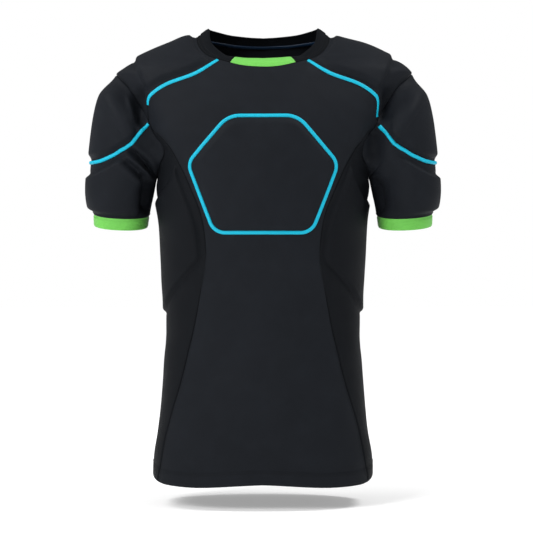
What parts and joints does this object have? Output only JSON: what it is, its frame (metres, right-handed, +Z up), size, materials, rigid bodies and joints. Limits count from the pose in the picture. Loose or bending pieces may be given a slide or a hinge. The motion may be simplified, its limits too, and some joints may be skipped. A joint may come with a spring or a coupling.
{
  "type": "padded rugby vest",
  "caption": "Short-sleeved padded stretch top in its hollow worn form, with raised chest, shoulder, rib and sleeve pads, piped seams, a collar band and elastic cuffs.",
  "frame": {"origin": "midway between the two points where the collar crosses the shoulders, where the wearer carries the vest", "axes": "+Z up, -Y out of the front, +X to the wearer's left"},
  "size_m": [0.552, 0.2355, 0.717],
  "materials": {
    "black_stretch_knit": "matte stretch knit with a slight sheen",
    "black_side_knit": "matte stretch knit",
    "cyan_piping": "flat sewn seam tape",
    "green_elastic": "woven elastic"
  },
  "bodies": {
    "root": {"front": "black_stretch_knit", "back": "black_stretch_knit", "side_panel_left": "black_side_knit", "side_panel_right": "black_side_knit", "shoulder_left": "black_stretch_knit", "shoulder_right": "black_stretch_knit", "sleeve_upper_left": "black_stretch_knit", "sleeve_upper_right": "black_stretch_knit", "sleeve_lower_left": "black_stretch_knit", "sleeve_lower_right": "black_stretch_knit", "cuff_left": "green_elastic", "cuff_right": "green_elastic", "collar": "black_stretch_knit", "neck_tab": "green_elastic", "neck_tape": "cyan_piping", "chest_pad": "black_stretch_knit", "chest_piping": "cyan_piping", "shoulder_piping_front_left": "cyan_piping", "shoulder_piping_front_right": "cyan_piping", "shoulder_piping_back_left": "cyan_piping", "shoulder_piping_back_right": "cyan_piping", "sleeve_piping_left": "cyan_piping", "sleeve_piping_right": "cyan_piping"}
  },
  "joints": []
}
